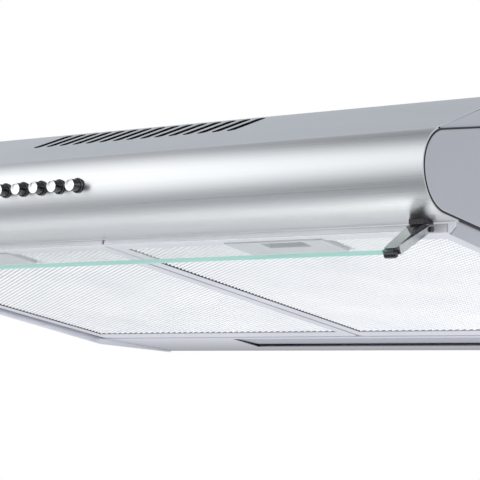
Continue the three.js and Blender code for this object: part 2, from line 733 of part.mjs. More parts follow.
// ---- blower ----
// the scroll seen from the side: neck, tongue, spiral round the wheel and up the rear
function scrollPath(offset) {
  const front = BLOWER_Y - 32 - offset;
  const steps = 16;
  const spiral = Array.from({ length: steps + 1 }, (_, i) => {
    const turn = i / steps;
    const angle = THREE.MathUtils.degToRad(128 + 232 * turn);
    const radius = 51 + 15 * turn + offset;
    return [BLOWER_Y + radius * Math.cos(angle), BLOWER_Z + radius * Math.sin(angle)];
  });
  const topZ = COLLAR_LOW - GAP;
  return [[front, topZ], [front, spiral[0][1] + 2], ...spiral, [BLOWER_Y + 66 + offset, topZ]];
}

function addBlower() {
  const wall = 2;
  const scroll = alongX(
    outline([...scrollPath(wall), ...scrollPath(0).reverse()]), -SCROLL_HALF, SCROLL_HALF);
  add('scroll_wall', scroll, galvanised);

  const start = SCROLL_HALF + GAP;
  const plate = alongX(outline(scrollPath(wall)), start, start + 2);
  const inlet = rod('x', 40, 12, [start, BLOWER_Y, BLOWER_Z], 36);
  addPair('scroll_side', cut(plate, [inlet]), galvanised);

  add('impeller', impeller(), blackPlastic);
  add('motor_shaft', rod('x', 4, 103, [-43, BLOWER_Y, BLOWER_Z], 16), chrome);

  const motorX = -118;
  const can = rod('x', 34, 44, [motorX, BLOWER_Y, BLOWER_Z], 32);
  const boss = rod('x', 12, 6, [motorX + 24, BLOWER_Y, BLOWER_Z], 24);
  const seat = rod('x', 4.3, 20, [motorX + 22, BLOWER_Y, BLOWER_Z], 16);
  add('motor', cut(join([can, boss]), [seat]), motorSteel);

  const strapLow = motorX - 24.6;
  const strap = block([strapLow, BLOWER_Y - 26, BLOWER_Z - 26], [strapLow + 2, BLOWER_Y + 26, -SHEET - GAP]);
  const foot = block([strapLow - 22, BLOWER_Y - 26, -3.3], [strapLow + 1, BLOWER_Y + 26, -SHEET - GAP]);
  add('motor_bracket', join([strap, foot]), galvanised);
}

// double-inlet wheel: a middle disc, a ring at each end and a row of blades
function impeller() {
  const blades = 16;
  const inner = WHEEL_R - 11;
  const ringShape = new THREE.Shape();
  ringShape.absarc(0, 0, WHEEL_R, 0, 2 * Math.PI, false);
  const bore = new THREE.Path();
  bore.absarc(0, 0, inner, 0, 2 * Math.PI, false);
  ringShape.holes.push(bore);
  const ring = (x) => alongX(ringShape, x, x + 2.5);
  const disc = rod('x', WHEEL_R - 0.5, 2.5, [0, 0, 0], 32);
  const hub = rod('x', 10, 18, [0, 0, 0], 20);
  const blade = outline([
    [inner + 1, -1.4], [inner + 5, 0.6], [WHEEL_R - 1, 4.4],
    [WHEEL_R - 1.4, 6], [inner + 4.6, 2.2], [inner + 1, 0.4],
  ]);
  const parts = [disc, hub, ring(-WHEEL_HALF), ring(WHEEL_HALF - 2.5)];
  for (let i = 0; i < blades; i += 1) {
    parts.push(alongX(blade, -WHEEL_HALF + 1, WHEEL_HALF - 1).rotateX((2 * Math.PI * i) / blades));
  }
  const wheel = toSolid(join(parts)).subtract(toSolid(rod('x', 4.3, 30, [0, 0, 0], 16)));
  return toGeometry(wheel).translate(0, BLOWER_Y, BLOWER_Z);
}

// ---- lamps and wiring ----
function addLamps() {
  const bulb = new THREE.LatheGeometry(
    [[0, -47], [5, -44], [10, -36], [14, -24], [16, -10], [14, 4], [8, 16], [6.5, 19], [6.5, 32], [0, 32]]
      .map(([r, h]) => new THREE.Vector2(r, h)), 20);
  bulb.rotateZ(-Math.PI / 2).translate(LAMP_X, LAMP_Y, LAMP_Z);
  addPair('lamp', bulb, whitePlastic);

  const cup = rod('x', 11, 26, [LAMP_X + 32, LAMP_Y, LAMP_Z], 20);
  const pocket = rod('x', 7, 20, [LAMP_X + 28, LAMP_Y, LAMP_Z], 20);
  const bracket = block(
    [LAMP_X + 38, LAMP_Y - 8, LAMP_Z - 8],
    [LAMP_X + 45, REAR_Y - SHEET - GAP, LAMP_Z + 8]);
  addPair('lamp_holder', cut(join([cup, bracket]), [pocket]), whitePlastic);
}

function addWiring() {
  const top = -SHEET - GAP;
  const box = block([110, 60, top - 34], [200, 120, top]);
  add('terminal_box', box, whitePlastic);
  const can = rod('y', 15, 60, [150, 180, top - 15.4], 24);
  add('capacitor', can, whitePlastic);
  const nut = rod('y', 12, 4, [120, REAR_Y - SHEET - GAP - 2, -40], 6);
  const gland = rod('y', 8, 16, [120, REAR_Y - 8, -40], 20);
  const passage = rod('y', 4, 40, [120, REAR_Y, -40], 16);
  add('cable_gland', cut(join([nut, gland]), [passage]), blackPlastic);
}

addFrontPanel();
addVentPanel();
addTopPlate();
addSideWalls();
addEndCaps();
addRearWall();
addRearBase();
addFrontRail();
addFilters();
addVisor();
addVisorBrackets();
addButtons();
addSwitchHousing();
addOutlet();
addBlower();
addLamps();
addWiring();

export default hood;
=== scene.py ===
"""Looks for a 60 cm under cabinet range hood. Metres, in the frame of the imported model."""

import math

import bmesh
import bpy
from mathutils import Matrix, Vector


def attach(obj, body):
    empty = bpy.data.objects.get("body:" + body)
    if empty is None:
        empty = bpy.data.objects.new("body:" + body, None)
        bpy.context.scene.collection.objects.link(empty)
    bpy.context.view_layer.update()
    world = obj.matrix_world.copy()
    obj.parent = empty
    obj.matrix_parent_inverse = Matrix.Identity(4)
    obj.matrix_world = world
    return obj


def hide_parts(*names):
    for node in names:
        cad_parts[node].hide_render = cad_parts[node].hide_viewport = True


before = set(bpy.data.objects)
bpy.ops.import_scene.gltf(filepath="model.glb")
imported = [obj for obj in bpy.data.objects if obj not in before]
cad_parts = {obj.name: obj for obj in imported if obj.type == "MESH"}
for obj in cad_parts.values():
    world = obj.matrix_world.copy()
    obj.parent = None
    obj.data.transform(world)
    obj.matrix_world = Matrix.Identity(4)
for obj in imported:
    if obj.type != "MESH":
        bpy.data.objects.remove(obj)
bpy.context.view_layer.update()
MM = 0.001

# ---- sizes shared with the CAD, in millimetres ----
SHEET = 1.0
HALF_WIDTH = 300.0
STRIP_DEG = 18.0
STRIP_REAR_Y = -67.0
STRIP_UNDER_Z = -0.66
NOSE_Z = -56.5
NOSE_FRONT_Y = -181.9
UPPER_R = 26.4
LOWER_R = 30.0
FOLD = (-164.2, -31.6)
UNDER_DEG = 10.35
FLANGE_END_Y = -140.4
CAP_SEAM = 1.2
CAP_REAR_Y = -57.0
CAP_TOP_SLOPE = 0.1157
CAP_CORNER_R = 10.0
CAP_RIM_REAR_Y = -149.0
FILTER_FRONT = (-139.6, -95.74)
PIN = (-144.8, -93.6)
VISOR_DEG = 22.8
ARM_INNER_X = 271.0
ARM_OUTER_X = 282.0
BAR_INNER_X = 277.0
BAR_FRONT = -38.6
TONGUE_FRONT = -42.0
TONGUE_REAR = -10.6
TONGUE_SKEW = -22.6
BUTTON_X = [-20.8 + 17.5 * i for i in (-2, -1, 0, 1, 2)]
BUTTON_Z = -54.0
BUTTON_R = 4.25
BUTTON_OUT = 9.0
BUTTON_HOLE_R = 5.2
DUCT = (0.0, 150.0)
DUCT_R = 60.0
DUCT_WALL = 2.0
DUCT_HEIGHT = 22.0


# ---- materials ----
class Nodes:
    """A material's node tree, with short ways to add a node and join two sockets."""

    def __init__(self, name):
        self.material = bpy.data.materials.new(name)
        self.material.use_nodes = True
        self.tree = self.material.node_tree
        self.shader = self.tree.nodes["Principled BSDF"]

    def add(self, kind, **values):
        node = self.tree.nodes.new(kind)
        for key, value in values.items():
            if hasattr(node, key):
                setattr(node, key, value)
            else:
                node.inputs[key].default_value = value
        return node

    def link(self, source, target):
        self.tree.links.new(source, target)

    def set(self, **values):
        for key, value in values.items():
            self.shader.inputs[key.replace("_", " ")].default_value = value

    def place(self, scale):
        """Object coordinates, stretched by a scale along X, Y and Z."""
        coordinate = self.add("ShaderNodeTexCoord")
        mapping = self.add("ShaderNodeMapping")
        mapping.inputs["Scale"].default_value = scale
        self.link(coordinate.outputs["Object"], mapping.inputs["Vector"])
        return mapping.outputs["Vector"]

    def noise(self, scale, detail=3.0, rough=0.55):
        node = self.add("ShaderNodeTexNoise")
        node.inputs["Scale"].default_value = 1.0
        node.inputs["Detail"].default_value = detail
        node.inputs["Roughness"].default_value = rough
        self.link(self.place(scale), node.inputs["Vector"])
        return node.outputs["Fac"]

    def spread(self, source, low, high, start=0.3, end=0.7):
        node = self.add("ShaderNodeMapRange")
        node.inputs["From Min"].default_value = start
        node.inputs["From Max"].default_value = end
        node.inputs["To Min"].default_value = low
        node.inputs["To Max"].default_value = high
        self.link(source, node.inputs["Value"])
        return node.outputs["Result"]

    def tint(self, source, low, high):
        node = self.add("ShaderNodeMix", data_type="RGBA")
        node.inputs["A"].default_value = (*low, 1)
        node.inputs["B"].default_value = (*high, 1)
        self.link(self.spread(source, 0, 1), node.inputs["Factor"])
        return node.outputs["Result"]

    def bump(self, source, height, strength=1.0):
        node = self.add("ShaderNodeBump")
        node.inputs["Strength"].default_value = strength
        node.inputs["Distance"].default_value = height
        self.link(source, node.inputs["Height"])
        self.link(node.outputs["Normal"], self.shader.inputs["Normal"])


def shade(color, by):
    return tuple(min(1.0, c * by) for c in color)


BRUSH_LONG = 4
BRUSH_FINE = 2600


def brushed(name, color, rough, along="x", strength=1.0, aniso=0.75):
    """Sheet steel with fine brush lines along one axis, and reflections drawn out across them."""
    m = Nodes(name)
    long, fine = BRUSH_LONG, BRUSH_FINE
    scale = {"x": (long, fine, fine), "y": (fine, long, fine), "z": (fine, fine, long)}[along]
    lines = m.noise(scale, 4.0, 0.7)
    cloud = m.noise((3, 9, 9), 2.0)
    m.link(m.tint(cloud, shade(color, 0.96), shade(color, 1.04)), m.shader.inputs["Base Color"])
    m.link(m.spread(lines, rough - 0.04, rough + 0.05), m.shader.inputs["Roughness"])
    m.set(Metallic=1.0, Anisotropic=aniso, Anisotropic_Rotation=0.25)
    grain = m.add("ShaderNodeCombineXYZ")
    grain.inputs[{"x": "X", "y": "Y", "z": "Z"}[along]].default_value = 1.0
    m.link(grain.outputs["Vector"], m.shader.inputs["Tangent"])
    m.bump(lines, 0.00001, 0.25 * strength)
    return m.material


def painted_shade_steel(name, near, far, near_y, far_y):
    """Satin sheet steel with painted shade: its tone falls away from front to back, standing in for the shade
    under a hood.
    """
    m = Nodes(name)
    split = m.add("ShaderNodeSeparateXYZ")
    m.link(m.place((1, 1, 1)), split.inputs["Vector"])
    depth = m.spread(split.outputs["Y"], 0, 1, near_y, far_y)
    mix = m.add("ShaderNodeMix", data_type="RGBA")
    m.link(depth, mix.inputs["Factor"])
    mix.inputs["A"].default_value = (*near, 1)
    mix.inputs["B"].default_value = (*far, 1)
    m.link(mix.outputs["Result"], m.shader.inputs["Base Color"])
    lines = m.noise((BRUSH_LONG, BRUSH_FINE, BRUSH_FINE), 4.0, 0.7)
    m.link(m.spread(lines, 0.30, 0.40), m.shader.inputs["Roughness"])
    m.set(Metallic=1.0)
    return m.material


def metal(name, color, rough, grain=(60, 60, 60), bump=0.00002):
    m = Nodes(name)
    spots = m.noise(grain, 4.0)
    m.link(m.tint(spots, shade(color, 0.92), shade(color, 1.06)), m.shader.inputs["Base Color"])
    m.link(m.spread(spots, rough - 0.06, rough + 0.06), m.shader.inputs["Roughness"])
    m.set(Metallic=1.0)
    m.bump(spots, bump, 0.5)
    return m.material


def plastic(name, color, rough, grain=1500, bump=0.00004, metallic=0.0, coat=0.0):
    """Moulded plastic: a fine even grain, and slow changes of tone."""
    m = Nodes(name)
    fine = m.noise((grain, grain, grain), 2.0)
    cloud = m.noise((12, 12, 12), 3.0)
    m.link(m.tint(cloud, shade(color, 0.95), shade(color, 1.05)), m.shader.inputs["Base Color"])
    m.link(m.spread(fine, rough - 0.04, rough + 0.06), m.shader.inputs["Roughness"])
    m.set(Metallic=metallic, Coat_Weight=coat, Coat_Roughness=0.08)
    m.bump(fine, bump, 0.6)
    return m.material


def clear_glass(name):
    m = Nodes(name)
    smear = m.noise((6, 30, 6), 3.0)
    m.set(Base_Color=(0.985, 1.0, 0.995, 1), IOR=1.5, Transmission_Weight=1.0, Specular_IOR_Level=0.15)
    m.link(m.spread(smear, 0.0, 0.03), m.shader.inputs["Roughness"])
    return m.material


def glass_edge(name):
    """The ground edge of the pane, which carries the green of the glass."""
    m = Nodes(name)
    along = m.noise((20, 400, 400), 3.0)
    m.link(m.tint(along, (0.29, 0.51, 0.46), (0.34, 0.57, 0.52)), m.shader.inputs["Base Color"])
    m.set(Roughness=0.3)
    return m.material


def frosted_cover(name, color):
    m = Nodes(name)
    ribs = m.noise((700, 700, 700), 2.0)
    m.link(m.tint(ribs, shade(color, 0.95), shade(color, 1.05)), m.shader.inputs["Base Color"])
    m.set(Roughness=0.5, Transmission_Weight=0.15)
    m.bump(ribs, 0.0001, 0.6)
    return m.material


STEEL = brushed("brushed_steel_lengthwise", (0.66, 0.67, 0.68), 0.30)
STRIP_STEEL = brushed("brushed_steel_strip", (0.68, 0.705, 0.74), 0.36, aniso=0.6)
WALL_STEEL = brushed("brushed_steel_side", (0.53, 0.54, 0.575), 0.36, along="y", aniso=0.6)
# painted shade: this steel darkens from front to back, standing in for the shade towards the wall
BASE_STEEL_PAINTED_SHADE = painted_shade_steel("brushed_steel_base_painted_shade", (0.56, 0.57, 0.62), (0.20, 0.205, 0.23), 0.200, 0.290)
# painted light: the inner faces of the side walls are paler than the outer ones
INNER_WALL_PAINTED_LIGHT = brushed("brushed_steel_wall_inside_painted_light", (0.80, 0.81, 0.86), 0.40, along="y", aniso=0.4)
ZINC = metal("galvanised_sheet", (0.55, 0.56, 0.57), 0.48, (90, 90, 90))
MOTOR = metal("motor_case", (0.42, 0.43, 0.45), 0.5, (300, 300, 300))
FRAME_METAL = plastic("filter_frame_aluminium", (0.58, 0.59, 0.63), 0.5, metallic=0.6)
# painted light: the front edges of the filter frames are paler than their sides
FRAME_FRONT_PAINTED_LIGHT = plastic("filter_frame_front_edge_painted_light", (0.84, 0.85, 0.88), 0.5, metallic=0.4)
MESH_METAL = plastic("expanded_mesh_aluminium", (0.95, 0.96, 0.98), 0.4, metallic=0.3)
MESH_BACK = metal("inner_mesh_layers", (0.52, 0.54, 0.58), 0.5, (60, 60, 60), 0.00001)
CAP_PLASTIC = plastic("silver_cap_plastic", (0.385, 0.395, 0.43), 0.42, metallic=0.25)
LATCH_PLASTIC = plastic("grey_latch_plastic", (0.36, 0.375, 0.40), 0.5)
COLLAR_PLASTIC = plastic("grey_duct_plastic", (0.42, 0.43, 0.45), 0.5)
BLACK = plastic("black_satin_plastic", (0.012, 0.012, 0.014), 0.28)
BLACK_GLOSS = plastic("black_gloss_plastic", (0.008, 0.008, 0.010), 0.12, bump=0.00001, coat=0.6)
# the black of the cap seam, with painted shade on the moulding's seam side
SEAM_BLACK = plastic("black_rubber", (0.02, 0.02, 0.021), 0.6, grain=2500)
CHROME = metal("polished_chrome", (0.80, 0.81, 0.82), 0.10, (200, 200, 200), 0.000004)
ARM_METAL = metal("arm_chrome", (0.62, 0.63, 0.63), 0.26, (300, 300, 300), 0.000008)
TONGUE_METAL = metal("arm_tongue", (0.58, 0.61, 0.60), 0.42, (300, 300, 300), 0.000008)
# painted shade: the long sides of the punched slots are black
SLOT_PAINTED_SHADE = plastic("slot_painted_shade", (0.004, 0.004, 0.004), 0.7)
# painted shade: the filter window walls that face right are nearly black
WINDOW_PAINTED_SHADE = plastic("filter_window_painted_shade", (0.035, 0.035, 0.04), 0.6)
GLASS = clear_glass("visor_glass_clear")
GLASS_EDGE = glass_edge("visor_glass_edge")
COVER = frosted_cover("lamp_cover_frosted", (0.30, 0.31, 0.36))
WHITE = plastic("white_ceramic_plastic", (0.80, 0.80, 0.77), 0.45)
OPAL = plastic("opal_lamp_glass", (0.86, 0.86, 0.83), 0.2, coat=0.5)


# ---- mesh helpers ----
def smooth(mesh, degrees=35):
    mesh.polygons.foreach_set("use_smooth", [True] * len(mesh.polygons))
    mesh.set_sharp_from_angle(angle=math.radians(degrees))


def build(name, vertices, faces, body, materials, slots=None, degrees=35):
    """A new piece from vertices in millimetres and faces."""
    mesh = bpy.data.meshes.new(name)
    mesh.from_pydata([tuple(c * MM for c in v) for v in vertices], [], faces)
    work = bmesh.new()
    work.from_mesh(mesh)
    bmesh.ops.recalc_face_normals(work, faces=work.faces)
    work.to_mesh(mesh)
    work.free()
    for material in materials:
        mesh.materials.append(material)
    if slots:
        mesh.polygons.foreach_set("material_index", slots)
    smooth(mesh, degrees)
    piece = bpy.data.objects.new(name, mesh)
    bpy.context.scene.collection.objects.link(piece)
    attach(piece, body)
    return piece


def bevel(piece, width, segments=3, degrees=30):
    modifier = piece.modifiers.new("edge_round", "BEVEL")
    modifier.width = width * MM
    modifier.segments = segments
    modifier.limit_method = "ANGLE"
    modifier.angle_limit = math.radians(degrees)
    normals = piece.modifiers.new("flat_faces", "WEIGHTED_NORMAL")
    normals.keep_sharp = False
    return piece


WELD_DISTANCE = 0.000002
FLAT_DEGREES = 0.2


def dress(node, material, width=0.3, segments=2, degrees=30):
    """Gives a CAD node its finish and rounds its edges, without moving its vertices."""
    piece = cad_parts[node]
    mesh = piece.data
    if "custom_normal" in mesh.attributes:
        mesh.attributes.remove(mesh.attributes["custom_normal"])
    mesh.materials.clear()
    mesh.materials.append(material)
    mesh.polygons.foreach_set("use_smooth", [True] * len(mesh.polygons))
    weld = piece.modifiers.new("weld", "WELD")
    weld.merge_threshold = WELD_DISTANCE
    flat = piece.modifiers.new("flat_merge", "DECIMATE")
    flat.decimate_type = "DISSOLVE"
    flat.angle_limit = math.radians(FLAT_DEGREES)
    return bevel(piece, width, segments, degrees)


def arc(centre, radius, start, end, steps):
    """Points on an arc in (y, z), angles in degrees."""
    points = []
    for i in range(steps + 1):
        angle = math.radians(start + (end - start) * i / steps)
        points.append((centre[0] + radius * math.cos(angle), centre[1] + radius * math.sin(angle)))
    return points


def drawn_out(outline, sections):
    """Vertices and faces of a side-view outline in (y, z) drawn along X through some sections."""
    count = len(outline)
    vertices = [(x, y, z) for x in sections for y, z in outline]
    faces = []
    for s in range(len(sections) - 1):
        for i in range(count):
            j = (i + 1) % count
            a, b = s * count, (s + 1) * count
            faces.append((a + i, a + j, b + j, b + i))
    last = (len(sections) - 1) * count
    faces.append(tuple(range(count)))
    faces.append(tuple(last + i for i in range(count)))
    return vertices, faces


def lathe(profile, steps=64):
    """A closed ring or solid from (radius, height) points, about the Z axis."""
    vertices, faces, rings = [], [], []
    for radius, height in profile:
        if radius < 1e-6:
            rings.append([len(vertices)])
            vertices.append((0.0, 0.0, height))
        else:
            first = len(vertices)
            for k in range(steps):
                turn = 2 * math.pi * k / steps
                vertices.append((radius * math.cos(turn), radius * math.sin(turn), height))
            rings.append(list(range(first, first + steps)))
    pairs = list(zip(rings, rings[1:]))
    if len(rings[0]) > 1:
        pairs.append((rings[-1], rings[0]))
    for low, high in pairs:
        for k in range(steps):
            n = (k + 1) % steps
            if len(low) == 1:
                faces.append((low[0], high[n], high[k]))
            elif len(high) == 1:
                faces.append((low[k], low[n], high[0]))
            else:
                faces.append((low[k], low[n], high[n], high[k]))
    return vertices, faces


def moved(vertices, matrix):
    return [tuple(matrix @ Vector(v)) for v in vertices]


def cut_by(piece, tools):
    """Cuts tools out of a piece and applies the result."""
    for tool in tools:
        modifier = piece.modifiers.new("cut", "BOOLEAN")
        modifier.operation = "DIFFERENCE"
        modifier.solver = "EXACT"
        modifier.object = tool
    graph = bpy.context.evaluated_depsgraph_get()
    result = bpy.data.meshes.new_from_object(piece.evaluated_get(graph))
    piece.modifiers.clear()
    piece.data = result
    smooth(result)
    for tool in tools:
        bpy.data.objects.remove(tool)


# ---- shared outlines ----
UNDER = math.radians(UNDER_DEG)
UPPER_C = (NOSE_FRONT_Y + UPPER_R, NOSE_Z)
LOWER_C = (NOSE_FRONT_Y + LOWER_R, NOSE_Z)
LOWER_END = 270 - UNDER_DEG
FLANGE_START = arc(LOWER_C, LOWER_R, LOWER_END, LOWER_END, 1)[0]


def flange_z(y):
    return FLANGE_START[1] - (y - FLANGE_START[0]) * math.tan(UNDER)


def nose_curve(inset, start, steps):
    return (arc(UPPER_C, UPPER_R - inset, start, 180, steps)
            + arc(LOWER_C, LOWER_R - inset, 180, LOWER_END, steps)[1:])


# ---- casing ----
NOSE_STEPS = 44
SKIN_HALF_X = HALF_WIDTH - 0.5
BUTTON_SPAN = 8
DRILL_REACH = 8


def make_nose():
    """One rolled sheet: the lip at the fold, the round nose and the flange with its folded edge."""
    start = math.degrees(math.atan2(FOLD[1] - NOSE_Z, FOLD[0] - UPPER_C[0]))
    outer = nose_curve(0, start, NOSE_STEPS)
    inner = nose_curve(SHEET, start, NOSE_STEPS)
    lip = [(FOLD[0] + 0.75, FOLD[1] + 0.02), (FOLD[0] + 0.3, FOLD[1])]
    lip_in = [(FOLD[0] + 0.75, FOLD[1] - 0.95)]
    rise = SHEET / math.cos(UNDER)
    end_z = flange_z(FLANGE_END_Y)
    # the folded edge, as (back, up) from the end of the flange
    fold = [(-0.5, 0.03), (-0.2, -0.12), (0, -0.32), (0.2, -0.75), (0.4, -0.9), (1.0, -0.6), (0.4, rise)]
    hem = [(FLANGE_END_Y + back, end_z + up) for back, up in fold]
    outline = lip + outer + hem + inner[::-1] + lip_in
    sections = [-SKIN_HALF_X]
    for x in BUTTON_X:
        sections += [x - BUTTON_SPAN, x + BUTTON_SPAN]
    sections.append(SKIN_HALF_X)
    vertices, faces = drawn_out(outline, sections)
    skin = build("nose_skin", vertices, faces, "hood", [STEEL])
    drills = []
    for i, x in enumerate(BUTTON_X):
        profile = [(0, -DRILL_REACH), (BUTTON_HOLE_R, -DRILL_REACH),
                   (BUTTON_HOLE_R, DRILL_REACH), (0, DRILL_REACH)]
        ring, sides = lathe(profile, 48)
        turn = Matrix.Translation((x, NOSE_FRONT_Y, BUTTON_Z)) @ Matrix.Rotation(math.pi / 2, 4, "X")
        drills.append(build(f"drill_{i}", moved(ring, turn), sides, "hood", [STEEL]))
    cut_by(skin, drills)
    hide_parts("front_panel")


CAP_STEPS = 36
CAP_CORNER_STEPS = 10
# the rounded face of a cap, as (distance from the middle, inset of its outline)
CAP_FACE = [(298.0, 0.0), (299.25, 0.0), (299.7, 0.18), (299.93, 0.55), (HALF_WIDTH, 0.95)]
CAP_RIM_X = [289.0, 298.1]
CAP_RIM_THICK = 1.6
CAP_LIP_X = [297.75, 299.1]
CAP_LIP_PROUD = 1.1


def cap_outline(inset):
    depth = SHEET + CAP_SEAM + inset
    start = 90 + math.degrees(math.atan(CAP_TOP_SLOPE))
    nose = nose_curve(depth, start, CAP_STEPS)
    head, low = nose[0], nose[-1]
    rear, r = CAP_REAR_Y - inset, CAP_CORNER_R - inset

    def top(y):
        return head[1] + (y - head[0]) * CAP_TOP_SLOPE

    def under(y):
        return low[1] - (y - low[0]) * math.tan(UNDER)

    lower = arc((rear - r, under(rear - r) + r), r, 270, 360, CAP_CORNER_STEPS)
    upper = arc((rear - r, top(rear - r) - r), r, 0, 90, CAP_CORNER_STEPS)
    return nose + lower[1:] + upper[:-1] + [(rear - r - 1, top(rear - r - 1))]


def make_caps():
    face = cap_outline(0.0)
    count = len(face)
    rings = [(x, cap_outline(inset)) for x, inset in CAP_FACE]
    for side, body_side in ((1, "right"), (-1, "left")):
        vertices, faces = [], []
        for x, ring in rings:
            vertices += [(x * side, y, z) for y, z in ring]
        for s in range(len(rings) - 1):
            for i in range(count):
                j = (i + 1) % count
                faces.append((s * count + i, s * count + j, (s + 1) * count + j, (s + 1) * count + i))
        faces.append(tuple(range(count)))
        faces.append(tuple((len(rings) - 1) * count + i for i in range(count)))
        # the rim that plugs into the end of the rolled nose
        first = len(vertices)
        front = [p for p in face if p[0] < CAP_RIM_REAR_Y]
        back = [p for p in cap_outline(CAP_RIM_THICK) if p[0] < CAP_RIM_REAR_Y]
        loop = front + back[::-1]
        wall, sides = drawn_out(loop, CAP_RIM_X)
        vertices += [(x * side, y, z) for x, y, z in wall]
        faces += [tuple(first + i for i in f) for f in sides]
        # the black lip round the back of the moulding, that draws the dark seam
        lip, edges = drawn_out(cap_outline(-CAP_LIP_PROUD), CAP_LIP_X)
        second = len(vertices)
        moulded = len(faces)
        vertices += [(x * side, y, z) for x, y, z in lip]
        faces += [tuple(second + i for i in f) for f in edges]
        # painted shade: the seam side of the moulding is black, hiding the light on its edge; the lip is
        # black too
        seam = 2 * count
        slots = [1] * seam + [0] * (moulded - seam) + [1] * len(edges)
        cap = build(f"{body_side}_cap_moulding", vertices, faces, "hood", [CAP_PLASTIC, SEAM_BLACK], slots, 50)
        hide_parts(f"{body_side}_end_cap")


SLOTS_HALF_X = 0.11


def dress_strip():
    """The slotted strip, whose punched slots carry painted shade, black along their long sides."""
    strip = dress("vent_panel", STRIP_STEEL, 0.1, 2)
    strip.data.materials.append(SLOT_PAINTED_SHADE)
    slope = math.radians(STRIP_DEG)
    across = Vector((0, math.sin(slope), -math.cos(slope)))
    # painted shade on the long sides of the slots
    for face in strip.data.polygons:
        slotted = abs(face.center.x) < SLOTS_HALF_X
        if slotted and abs(face.normal.dot(across)) < 0.5 and abs(face.normal.x) > 0.02:
            face.material_index = 1


WALL_X = [296.7, 297.7]
WALL_TOP_Z = -1.05
WALL_FOOT = (-146.0, -97.6)
BASE_FOLD = (194.7, -162.2)
REAR_FOOT = (300.0, -169.8)
TAB_X = [291.35, 297.2]
TAB_Z = (-95.7, -88.0)


def make_walls():
    """The folded side walls, from the strip and the top plate down to the sloping underside."""
    slope = math.tan(math.radians(STRIP_DEG))
    lip_y, front_y, step_y = -158.0, -147.0, FLANGE_END_Y + 1.8
    head = cap_outline(0.0)[0]

    def under_strip(y):
        return (y - STRIP_REAR_Y) * slope + STRIP_UNDER_Z

    def over_cap(y):
        return head[1] + (y - head[0]) * CAP_TOP_SLOPE + 0.1

    outline = [WALL_FOOT, BASE_FOLD, REAR_FOOT, (REAR_FOOT[0], WALL_TOP_Z), (STRIP_REAR_Y + 0.4, WALL_TOP_Z),
               (lip_y, under_strip(lip_y)), (lip_y, over_cap(lip_y)), (front_y, over_cap(front_y)),
               (front_y, flange_z(front_y) + 1.1), (step_y, flange_z(step_y) + 1.1), (step_y, -92.0)]
    tab_y = FILTER_FRONT[0] + 0.1
    low, high = TAB_Z
    # painted light: the tab takes the pale tone of the frames' front edges
    tab = [(tab_y, low), (step_y + 1, low), (step_y + 1, high), (tab_y, high)]
    for side, name in ((1, "right"), (-1, "left")):
        vertices, faces = drawn_out(outline, WALL_X)
        more, sides = drawn_out(tab, TAB_X)
        faces += [tuple(len(vertices) + i for i in f) for f in sides]
        vertices += more
        # painted light: the inner face of the wall is paler than its outer face
        slots = [0] * len(outline) + [1, 0] + [2] * len(sides)
        wall = build(f"{name}_wall_sheet", [(x * side, y, z) for x, y, z in vertices], faces, "hood",
                     [WALL_STEEL, INNER_WALL_PAINTED_LIGHT, FRAME_FRONT_PAINTED_LIGHT], slots)
        bevel(wall, 0.1, 2)
        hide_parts(f"{name}_side_wall")


def dress_casing():
    dress_strip()
    dress("top_plate", ZINC, 0.3)
    make_walls()
    dress("rear_wall", ZINC, 0.3)
    # painted shade on the base panel, darker towards the wall
    dress("rear_base_panel", BASE_STEEL_PAINTED_SHADE, 0.3)
    dress("lamp_cover", COVER, 0.3)
    dress("front_rail", ZINC, 0.3)


# ---- grease filters ----
FILTER_PLACE = (Matrix.Translation((0, FILTER_FRONT[0], FILTER_FRONT[1]))
                @ Matrix.Rotation(-UNDER, 4, "X"))
MESH_X = (12.2, 280.1)
MESH_Y = (16.0, 321.2)
LATCH_X = (104.3, 188.0)
LATCH_Y = 44.9
DIAMOND = (6.5, 4.33)
MESH_DEPTH = 1.0
MESH_MARGIN = 0.6
LATCH_CLEAR = 0.8
STRAND_THICK = 0.3
BRIGHT_WIDTH = 1.45
BRIGHT_LEAN = math.radians(-30)
DULL_WIDTH = 0.8
DULL_DEPTH = MESH_DEPTH + 0.25
LAYERS_Z = (MESH_DEPTH + 0.6, MESH_DEPTH + 1.6)
STRAND_OVERLAP = 0.06


def strand(vertices, faces, start, step, width, lean, depth):
    """One straight strand of the mesh as a closed bar, turned by its lean about its own length."""
    length = math.hypot(*step)
    ahead = (step[0] / length, step[1] / length)
    across = (-ahead[1] * math.cos(lean), ahead[0] * math.cos(lean), math.sin(lean))
    out = (ahead[1] * math.sin(lean), -ahead[0] * math.sin(lean), math.cos(lean))
    first = len(vertices)
    for share in (-STRAND_OVERLAP, 1 + STRAND_OVERLAP):
        centre = (start[0] + step[0] * share, start[1] + step[1] * share, depth)
        for u, v in ((-1, -1), (1, -1), (1, 1), (-1, 1)):
            vertices.append(tuple(centre[k] + across[k] * u * width / 2 + out[k] * v * STRAND_THICK / 2
                                  for k in range(3)))
    for k in range(4):
        n = (k + 1) % 4
        faces.append((first + k, first + n, first + 4 + n, first + 4 + k))
    faces.append((first, first + 1, first + 2, first + 3))
    faces.append((first + 4, first + 5, first + 6, first + 7))


